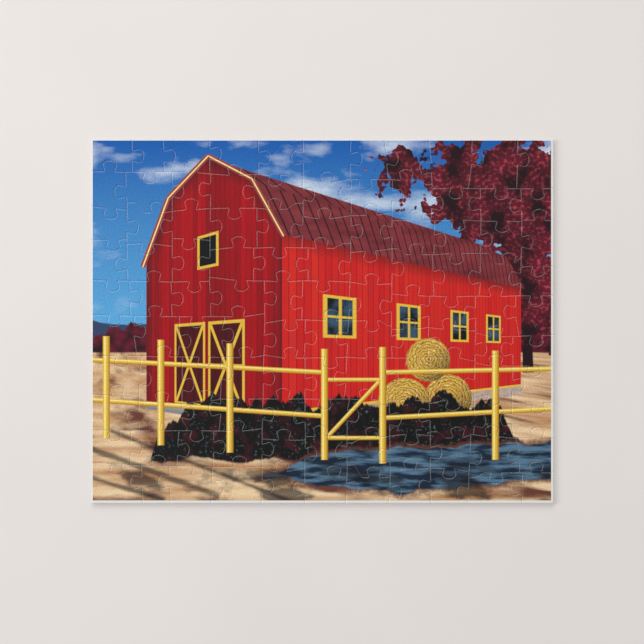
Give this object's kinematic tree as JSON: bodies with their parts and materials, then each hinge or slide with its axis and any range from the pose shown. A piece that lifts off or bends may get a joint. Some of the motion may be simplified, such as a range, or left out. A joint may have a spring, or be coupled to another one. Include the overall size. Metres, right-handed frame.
{
  "type": "jigsaw puzzle",
  "caption": "Flat picture puzzle of thick printed board, die cut into interlocking pieces with one rounded knob per cut and staggered crossings, assembled face up",
  "frame": {"origin": "centre of the back face, on the surface that the puzzle lies on", "axes": "+X to the right along the long side of the picture, +Y up the picture, +Z out of the printed face"},
  "size_m": [0.254, 0.2, 0.0019],
  "materials": {
    "printed_board": "satin colour print laminated on grey pressed board, white strips along the right and bottom edges"
  },
  "bodies": {
    "root": {"corner_top_left": "printed_board", "corner_top_right": "printed_board", "corner_bottom_left": "printed_board", "corner_bottom_right": "printed_board", "edge_top": "printed_board", "edge_bottom": "printed_board", "edge_left": "printed_board", "edge_right": "printed_board", "inner_row_2": "printed_board", "inner_row_3": "printed_board", "inner_row_4": "printed_board", "inner_row_5": "printed_board", "inner_row_6": "printed_board", "inner_row_7": "printed_board", "inner_row_8": "printed_board", "inner_row_9": "printed_board"}
  },
  "joints": []
}
